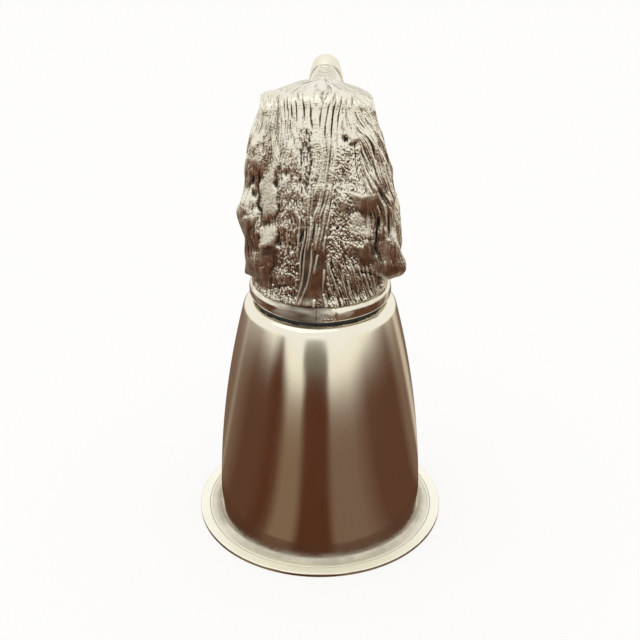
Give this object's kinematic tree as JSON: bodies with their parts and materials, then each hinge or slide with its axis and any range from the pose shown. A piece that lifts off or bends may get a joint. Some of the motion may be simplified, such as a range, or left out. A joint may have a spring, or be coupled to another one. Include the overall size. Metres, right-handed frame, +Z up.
{
  "type": "stirrup cup",
  "caption": "Stirrup cup with a tapered round bowl and flared rim, standing mouth down, its closed end carrying a collared long-eared dog head.",
  "frame": {"origin": "middle of the mouth, on the plane that the rim stands on", "axes": "+Z up through the closed end and the head, +Y towards the nose, +X towards the dog's right ear"},
  "size_m": [0.069, 0.069, 0.1243],
  "materials": {
    "polished_metal": "satin polished pewter with fine handling marks",
    "antique_metal": "cast pewter, rubbed bright on the ridges and dark in the hollows",
    "dark_metal": "blackened, never polished"
  },
  "bodies": {
    "root": {"bowl": "polished_metal", "rim_band": "polished_metal", "neck_seat": "dark_metal", "collar": "polished_metal", "collar_lap": "antique_metal", "nape_casting": "antique_metal", "face_casting": "antique_metal", "left_ear": "antique_metal", "right_ear": "antique_metal"}
  },
  "joints": []
}
